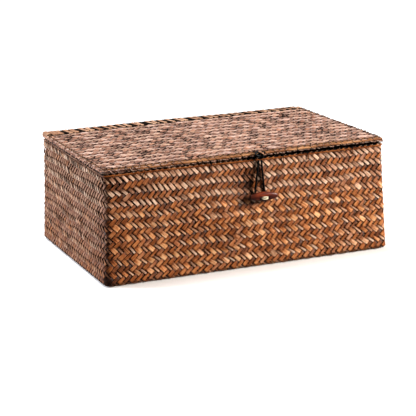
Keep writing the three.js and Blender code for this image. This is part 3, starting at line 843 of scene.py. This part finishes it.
lid_top = FlatMat((-154.7, -104.6), (154.7, 91.6), (88, 54), LID_TOP - 0.35, 1, 1.6, 6, 1.0, warped=1)
top_strips = mat_weave("lid_top", lid_top, "lid", ("lid", "lid_low"), "woven_lid", 2.36, 1, per_cross=3,
                       amplitude=0.75, lean=9.0, uneven=0.14, loose=lid_gaps, mitred=False, size=1.1)
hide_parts("lid_top_mat")
lid_low = FlatMat((-152.6, -100.9), (152.6, 88.8), (84, 52), LID_LOW + 0.35, -1, 1.3, 6, 1.4, warped=1, edge_rise=1.1)
under_strips = mat_weave("lid_under", lid_low, "lid", ("lining", "lining"), "woven_lining", 2.4, 1, seed=13)
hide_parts("lid_under_mat")
floor_in = FlatMat((-143, -93), (143, 93), (80, 52), 3.0, 1, 0.5, 2, 0.1)
mat_weave("floor", floor_in, "box", ("lining", "lining"), "woven_lining", 2.4, 0, seed=23)
floor_out = FlatMat((-148, -98), (148, 98), (84, 56), 1.0, -1, 0.5, 2, 0.1)
mat_weave("underside", floor_out, "box", ("rising", "rising"), "woven_wall", 2.4, 0, seed=43, mitred=False,
          amplitude=0.3)


def lid_core():
    rings = []
    for inset, z in ((1.6, LID_LOW + 0.9), (1.0, LID_LOW + 1.4), (1.0, LID_TOP - 1.4), (1.6, LID_TOP - 0.95)):
        half_x, half_y, radius = HALF_X - inset, 97.1 - inset, 6 - inset
        ring = []
        for sx, sy, start in ((1, -1, -90), (1, 1, 0), (-1, 1, 90), (-1, -1, 180)):
            for angle in np.linspace(start, start + 90, 8):
                middle = vec(sx * (half_x - radius), sy * (half_y - radius) - 7.9, 0)
                x, y, _ = middle + radius * vec(*circle(angle), 0)
                ring.append((x, y, z + lid_warp(x, y)))
        rings.append(ring)
    closed_piece("lid_core", rings, "lid", "core", "woven_lid")


lid_core()


# Bindings
def swept_ring(points, out, on_front, profile):
    """profile(k, run) gives (outward, up) pairs for point k. The strip is paler off the front, as painted light of the
    sides.
    """
    run = run_along(points)
    grid = np.array([[p + o * a + vec(0, 0, b) for a, b in profile(k, run[k])]
                     for k, (p, o) in enumerate(zip(points, out))])
    across = np.linspace(-1, 1, grid.shape[1])
    return grid, strand_of(grid, rows(run), across, rows(1 - on_front), rows(0.5 + 0.35 * np.sin(run * 0.11)))


def rim_fold():
    """The strip folded over the walls' top."""
    edge = Wall(0, 6.4, 1, 0)
    s = np.arange(0, edge.length, 2.0)
    x, y, nx, ny, climb = edge.round_at(s)
    wander = wave_field(71, edge.length, 0.35)
    on_front = smooth((-96 - y) / 6)
    drop = 0.7 + (0.5 + 0.6 * wander(s, 0)) * on_front * (1 - 0.6 * smooth((x - 10) / 60))
    bulge = 0.15 * wander(s, 20) - 0.45 * on_side(ny, climb)
    lift = SIDE_LIFT * rim_lift(x, ny, climb)

    def profile(k, run):
        top = RIM_Z + RIM_RISE * climb[k]
        crest = top + lift[k]
        low = crest - max(drop[k], 0.6)
        b = bulge[k]
        return [
            (-1.0, low), (-0.75 + b, low - 0.1), (-0.2 + b, low + 0.05), (0.0 + b, low + 0.5), (0.02 + b, crest - 0.9),
            (-0.2 + b, crest - 0.3), (-0.75, crest), (-1.15, crest - 0.15), (-1.3, top + 0.15), (-3.0, top + 0.12),
            (-5.3, top), (-5.9, top - 0.3), (-6.1, top - 0.9), (-6.1, top - 3.0), (-5.9, top - 3.2), (-5.5, top - 3.1),
        ]

    points, out = np.stack([x, y, 0 * x], -1), np.stack([nx, ny, 0 * x], -1)
    skin = Skin()
    skin.grid(*swept_ring(points, out, on_front, profile), wrap_rows=True)
    fold = skin.piece("rim_fold", "box", "fold", "straw_binding")
    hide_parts("rim_binding")


rim_fold()


BAND_X, BAND_Y, BAND_ROUND, BAND_REAR = 154.9, 104.9, 5.9, 97.5


def edge_band():
    """The strip folded round the lid's edge: from the rear of one side, along the front, to the other."""
    mid = LID_LOW + 1.7

    def bend(x, start):
        y = BAND_ROUND - BAND_Y
        return [(x + BAND_ROUND * c, y + BAND_ROUND * s) for c, s in map(circle, np.linspace(start, start + 90, 8))]

    path = [(-BAND_X, y) for y in (BAND_REAR, *np.arange(95, -99, -3.0))] + bend(BAND_ROUND - BAND_X, 180)
    path += [(x, -BAND_Y) for x in np.arange(-147, 148, 3.0)] + bend(BAND_X - BAND_ROUND, 270)
    path += [(BAND_X, y) for y in (*np.arange(-96, 97, 3.0), BAND_REAR)]
    points = np.array([(x, y, mid + lid_warp(x, y)) for x, y in path])
    ahead = unit(np.gradient(points, axis=0))
    out = np.stack([ahead[:, 1], -ahead[:, 0], 0 * ahead[:, 0]], -1)
    wander = wave_field(81, 900, 0.3)

    def profile(k, run):
        x, y, z = points[k]
        front = smooth((-97 - y) / 7)
        wave = wander(run, 0)
        frayed = math.exp(-((x + 150) / 9) ** 2) * front
        smart = smooth((x + 110) / 60)
        up = 0.95 + (0.45 + 0.4 * smart) * front + 0.3 * wave - 0.5 * frayed
        down = -0.85 + 0.85 * front + 0.25 * wander(run, 30) + 0.3 * frayed
        lip = 0.6 + (0.7 + 0.6 * smart) * front + wave
        return [
            (-lip, up + 0.02), (-lip, up + 0.2), (-0.6, up + 0.22), (-0.1, up - 0.05), (0.2, up - 0.6), (0.28, 0.1),
            (0.2, down + 0.5), (-0.1, down + 0.05), (-0.7, down - 0.1), (-3.2, down - 0.1), (-3.3, down + 0.2),
        ]

    on_front = smooth((-97 - points[:, 1]) / 6)
    grid, strand = swept_ring(points, out, on_front, profile)
    # darker towards the front's left end
    strand[..., 3] -= rows(1.1 * on_front * (1 - smooth((points[:, 0] + 128) / 36)))
    skin = Skin()
    skin.grid(grid[:, ::-1], strand[:, ::-1])
    band = skin.piece("lid_band", "lid", "band", "straw_binding")
    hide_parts("lid_edge_band")

    stitches = Skin()
    draw = np.random.default_rng(4)
    for x in np.arange(-146, 147, 12.6):
        x = x + draw.uniform(-3, 3)
        if abs(x - 12) < 8:
            continue
        lean = draw.uniform(1.2, 2.6)
        line = [
            (x - lean, -102.8, 2.0), (x - lean * 0.7, -104.5, 2.0), (x, -105.2, 0.6), (x + lean * 0.6, -105.2, -0.7),
            (x + lean * 0.8, -104.4, -1.4),
        ]
        line = [(a, b, mid + c + lid_warp(a, b)) for a, b, c in line]
        twisted(stitches, catmull(line, 6), 0.3, depth=0.1, sides=8)
    stitches.piece("band_stitches", "lid", "tie", "tie_thread")


edge_band()

# The winding on the hinge
TURNS, FIRST_X, LAST_X, END_X = 37, -150.4, 152.0, 151.2
LID_BEND_Y, LID_BEND_DEEP, LID_BEND_HIGH = 90.6, 3.2, 2.75
PIN_REACH = 2.3


def winding_rise(x):
    """How much fatter the winding is: 1.6 mm on its left half, 0.45 mm at its right end."""
    return 1.6 - 1.15 * smooth((x + 30) / 110)


def wound_turns():
    """The way of each turn: where it runs, an angle or a share of the way, and its advance to the next."""
    quarters = (0.25, 0.5, 0.75)
    way = [("pin", a, 0.15 * smooth((90 - a) / 180)) for a in np.linspace(90, -90, 9)]
    way += [("under", t, 0.15 + 0.95 * t) for t in quarters]
    way += [("lid", a, 1.1 + 0.45 * smooth((-90 - a) / 180)) for a in np.linspace(-90, -270, 9)]
    return way + [("over", t, 1.55 - 0.55 * t) for t in quarters]


def hinge_strip():
    """One strip wound round the rim wire and through the lid's rear edge."""
    draw = np.random.default_rng(15)
    shift = draw.uniform(-1.7, 1.7, TURNS + 1)
    shift[[0, 1, 2, 3, -1]] = 0
    starts = np.concatenate([FIRST_X + 4 * np.arange(3), np.linspace(FIRST_X + 12, LAST_X, TURNS - 2)]) + shift
    centre, normal = [], []
    way = wound_turns()
    for start, stop in zip(starts[:-1], starts[1:]):
        high = winding_rise(start)
        for where, a, advance in way:
            c, d = circle(a)
            if where == "pin":
                y, z = PIN_Y + PIN_REACH * c, (PIN_REACH + high * max(d, 0) ** 2) * d
            elif where == "lid":
                y, z = LID_BEND_Y + LID_BEND_DEEP * c, LID_BEND_HIGH * d
            else:
                c, d = 0, 1 if where == "over" else -1
                share = a if where == "under" else 1 - a
                level = PIN_REACH + (high if where == "over" else 0)
                y = PIN_Y + (LID_BEND_Y - PIN_Y) * share
                z = d * (level + (LID_BEND_HIGH - level) * share - 0.3 * math.sin(math.pi * share))
            centre.append((min(start + (stop - start) * advance, END_X), y, PIN_Z + z))
            normal.append((0, c, d))
    broad = draw.uniform(0.78, 1.12, TURNS) + 0.42 * (1 - smooth((starts[:-1] + 105) / 20))
    broad, tone = (np.repeat(values, len(way)) for values in (broad, draw.uniform(0.2, 0.95, TURNS)))
    skin = Skin()
    ribbon(skin, np.array(centre), unit(np.array(normal, float)), 2.2 * broad, 0, 0, 0.4, tone, 0.5)

    # strips folded over its ends, lower on the right and darker there as painted shade
    for end, x, rise, painted_shading in ((-1, 153.2, winding_rise(-150), 0), (1, 149.6, winding_rise(150) - 0.6, 0.5)):
        for y in np.arange(88.5, 104, 2.8):
            round_pin = math.sqrt(max(0.0, 1 - ((y - PIN_Y) / 2.6) ** 2)) if y > PIN_Y else 1.0
            top, low = PIN_Z + (1.8 + rise) * round_pin + 0.3, PIN_Z - 2.0 * round_pin
            line = [
                (x - 4, y + 1.5, top + 0.1), (x - 1, y + 0.4, top), (x + 0.5, y, top - 1), (x + 0.8, y, PIN_Z),
                (x + 0.2, y, low),
            ]
            line = catmull([(end * a, b, c) for a, b, c in line], 5)
            turned = smooth((top + 0.4 - line[:, 2]) / 1.6)
            out = unit(np.stack([end * turned, 0 * turned, 1.01 - turned], -1))
            ribbon(skin, line, out, 1.7, 0, 0, 0.9, draw.uniform(0.3, 0.8) - painted_shading, 0.4)
    winding = skin.piece("hinge_strips", "lid", "winding", "hinge_strip")
    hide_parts("hinge_winding")

    # a dark core under the turns
    rings = []
    for x in np.linspace(-149.5, 148.5, 75):
        rise = winding_rise(x)
        ring = [(PIN_Y + 1.75 * c, (1.9 + rise * max(d, 0) ** 2) * d) for c, d in map(circle, np.linspace(90, -90, 9))]
        ring += [
            (95.0, -1.5), (89.2, -2.1), (88.3, 0), (88.1, 2.2), (91.0, 2.35 + 0.2 * rise), (95.0, 2.0 + 0.5 * rise),
        ]
        rings.append([(x, y, PIN_Z + z) for y, z in ring])
    core = closed_piece("winding_core", rings, "lid", "core", "black_wire")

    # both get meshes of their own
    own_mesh(winding)
    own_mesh(core)


hinge_strip()

# Knot, toggle and thread
KNOT = vec(11.8, -106.2, 116.5)
KNOT_WIDE, KNOT_HIGH, KNOT_DEEP = 5.3, 3.4, 1.1
KNOT_CORD = 0.92


def knot():
    """A flat overhand knot on a turn of cord over the lid's edge, with a strip of straw held in it."""
    skin = Skin()
    t = full_turn(48)
    across = (np.sin(t) + 2 * np.sin(2 * t)) / 2.76 * KNOT_WIDE
    rise = (np.cos(t) - 2 * np.cos(2 * t) + 0.44) / 2.56 * KNOT_HIGH
    outward = np.sin(3 * t) * KNOT_DEEP
    line = np.stack([KNOT[0] + across, KNOT[1] - 1.95 + outward, KNOT[2] + rise], 1)
    twisted(skin, catmull(line, 4, closed=True), KNOT_CORD, closed=True)
    turn = [
        (11.3, -106.2, 114.7), (11.4, -103.2, 114.4), (11.6, -99.4, 115.0), (11.8, -98.8, 117.0), (12.0, -99.6, 119.0),
        (12.1, -102.5, 119.5), (12.3, -105.0, 119.4), (12.4, -106.6, 118.4),
    ]
    twisted(skin, catmull(turn, 8), KNOT_CORD)
    piece = skin.piece("cord_knot", "lid", "cord", "elastic_cord")
    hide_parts("loop_knot")
    held = catmull([(10.1, -106.2, 120.3), (11.6, -108.9, 120.4), (13.4, -110.2, 119.5), (15.3, -109.6, 118.0),
                    (16.6, -107.0, 117.0)], 8)
    straw = Skin()
    ribbon(straw, held, np.broadcast_to(unit(vec(0.35, -0.8, 0.5)), held.shape), 1.4, 0, 0, 0, 0.35, 0.4)
    straw.piece("knot_straw", "lid", "winding", "straw_binding")


knot()

TOGGLE_X, TOGGLE_Y, TOGGLE_Z, TOGGLE_HALF = 13.4, -110.75, 74.1, 15.5
TOGGLE_LEAN = -0.035
SHANK_X, SHANK_Z = 14, 75
KNOT_INSIDE_Y, KNOT_INSIDE = -98.0, 1.75


def toggle_lens():
    angles = full_turn(40)
    round_off = (np.abs(np.cos(angles)) ** 2.6 + np.abs(np.sin(angles)) ** 2.6) ** (-1 / 2.6)
    rings = []
    for share in np.sin(np.linspace(-math.pi / 2, math.pi / 2, 60)):
        swell = math.cos(share * math.pi / 2)
        tip = min(1.0, 0.45 + 0.55 * math.sqrt(max(0.0, (1 - abs(share)) / 0.06)))
        high = tip * (4.2 + 5.6 * swell) / 2
        deep = tip * (3.2 + 2.3 * swell) / 2
        x = np.full_like(angles, TOGGLE_X + share * TOGGLE_HALF)
        level = TOGGLE_Z + share * TOGGLE_HALF * TOGGLE_LEAN
        y, z = TOGGLE_Y + deep * round_off * np.cos(angles), level + high * round_off * np.sin(angles)
        rings.append(np.stack([x, y, z], -1))
    lens = closed_piece("toggle_lens", rings, "toggle", "wood", "toggle_wood")

    # two holes through it, and a groove between them in front and behind
    ring = full_turn(24)
    for place, turn, length, bore in (
        ((HOLES_X - HOLE_APART, TOGGLE_Y, HOLE_Z), (90, 0, 0), 12, 1.35),
        ((HOLES_X + HOLE_APART, TOGGLE_Y, HOLE_Z), (90, 0, 0), 12, 1.35),
        ((HOLES_X, -113.3, HOLE_Z), (0, 90, 0), 8.4, 0.95),
        ((HOLES_X, -108.0, HOLE_Z), (0, 90, 0), 8.4, 0.95),
    ):
        cut = bpy.data.meshes.new("cut")
        ends = (-length / 2, length / 2)
        points = [(bore * c, bore * s, z) for z in ends for c, s in zip(np.cos(ring), np.sin(ring))]
        faces = [(i, (i + 1) % 24, 24 + (i + 1) % 24, 24 + i) for i in range(24)]
        faces += [tuple(range(24))[::-1], tuple(range(24, 48))]
        cut.from_pydata((np.array(points) * MM).tolist(), [], faces)
        tool = add_object("cut", cut)
        tool.rotation_euler = [math.radians(a) for a in turn]
        tool.location = [c * MM for c in place]
        bpy.context.view_layer.update()
        modifier = lens.modifiers.new("bore", "BOOLEAN")
        modifier.object, modifier.operation, modifier.solver = tool, "DIFFERENCE", "EXACT"
        baked = bpy.data.meshes.new_from_object(lens.evaluated_get(bpy.context.evaluated_depsgraph_get()))
        lens.modifiers.clear()
        lens.data = baked
        bpy.data.objects.remove(tool)
    lens.data.materials.clear()
    lens.data.materials.append(looks["wood"])
    lens.data.polygons.foreach_set("use_smooth", [True] * len(lens.data.polygons))
    lens.data.set_sharp_from_angle(angle=math.radians(40))
    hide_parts("toggle")


toggle_lens()


def sewing():
    """Thread through the toggle's holes, a shank through the wall, and a knot inside."""
    skin = Skin()
    # x, y, and how far the two threads part
    route = [
        (10.5, -111.2, 0.3), (10.9, -112.6, 0.6), (12.2, -113.6, 0.95), (15.4, -113.6, 0.95), (16.9, -112.9, 0.7),
        (17.5, -111.4, 0.3), (17.6, -109.6, 0.2), (16.3, -108.1, 0), (11.7, -108.1, 0), (10.3, -109.6, 0.2),
    ]
    for side in (-1, 1):
        loop = [(x, y, HOLE_Z + side * off + (x - SHANK_X) * TOGGLE_LEAN) for x, y, off in route]
        twisted(skin, catmull(loop, 6, closed=True), 0.66, lobes=3, lay=3.0, closed=True, depth=0.25, step=0.3)
    shank = [(SHANK_X, -107.7, HOLE_Z), (SHANK_X, -104, 74.6), (SHANK_X, -99.4, SHANK_Z)]
    twisted(skin, catmull(shank, 8), 0.8, lobes=3, lay=3, depth=0.25, step=0.4)
    thread = skin.piece("toggle_sewing", "toggle", "cream", "cream_thread")
    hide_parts("toggle_thread")
    ball = []
    around = full_turn(18)
    for a in np.linspace(0.05, math.pi - 0.05, 10):
        reach = KNOT_INSIDE * (1 + 0.08 * np.cos(3 * around + 4 * a)) * math.sin(a)
        y = np.full_like(around, KNOT_INSIDE_Y + KNOT_INSIDE * math.cos(a))
        ball.append(np.stack([SHANK_X + reach * np.cos(around), y, SHANK_Z + reach * np.sin(around)], -1))
    closed_piece("sewing_knot", ball, "toggle", "cream", "cream_thread")


sewing()

for name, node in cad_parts.items():
    kind = "tie" if name.startswith("rim_tie") else "wire" if "wire" in name or "post" in name else None
    if kind:
        node.data.materials.clear()
        node.data.materials.append(looks[kind])


# Floor and light
def paper_floor():
    floor = bpy.data.meshes.new("floor")
    size, level = 9.0, -0.0003
    corners = [(x * size, y * size, level) for x, y in ((-1, -1), (1, -1), (1, 1), (-1, 1))]
    floor.from_pydata(corners, [], [(0, 1, 2, 3)])
    n = Nodes("floor_paper", 0.9)
    n.shader.inputs["Base Color"].default_value = (0.9, 0.9, 0.9, 1)
    floor.materials.append(n.material)
    ground = add_object("floor", floor)
    ground.visible_diffuse = ground.visible_glossy = False


def studio_world():
    """Soft light all round, weaker from the front left."""
    world = bpy.data.worlds.new("studio")
    world.use_nodes = True
    nodes, links = world.node_tree.nodes, world.node_tree.links
    facing = nodes.new("ShaderNodeVectorMath")
    facing.operation = "DOT_PRODUCT"
    facing.inputs[1].default_value = (-0.62, -0.78, 0)
    links.new(nodes.new("ShaderNodeTexCoord").outputs["Generated"], facing.inputs[0])
    fall = nodes.new("ShaderNodeMapRange")
    fall.interpolation_type = "SMOOTHSTEP"
    for socket, number in zip(fall.inputs[1:5], (-0.2, 0.9, 0.32, 0.1)):
        socket.default_value = number
    links.new(facing.outputs["Value"], fall.inputs[0])
    nodes["Background"].inputs["Color"].default_value = (1, 0.99, 0.98, 1)
    links.new(fall.outputs[0], nodes["Background"].inputs["Strength"])
    bpy.context.scene.world = world


def lamp(name, place, size, power, colour):
    data = bpy.data.lights.new(name, "AREA")
    data.shape, data.size, data.energy, data.color = "DISK", size, power, colour
    back = unit(vec(*place) - vec(0, 0, 0.05))
    side = unit(np.cross(vec(0, 0, 1), back))
    aim(add_object(name, data), side, np.cross(back, side), back, place)


paper_floor()
studio_world()
lamp("key", (1.3, -0.98, 0.7), 0.5, 58, (1, 0.94, 0.87))
lamp("left", (-1.65, 1.0, 0.85), 0.9, 52, (0.9, 0.93, 1))
sun = bpy.data.lights.new("top", "SUN")
sun.energy, sun.angle, sun.color = 2.5, math.radians(25), (0.97, 0.97, 1)
add_object("top", sun).rotation_euler = (math.radians(-16), math.radians(-10), 0)
bpy.context.scene.view_settings.view_transform = "Standard"
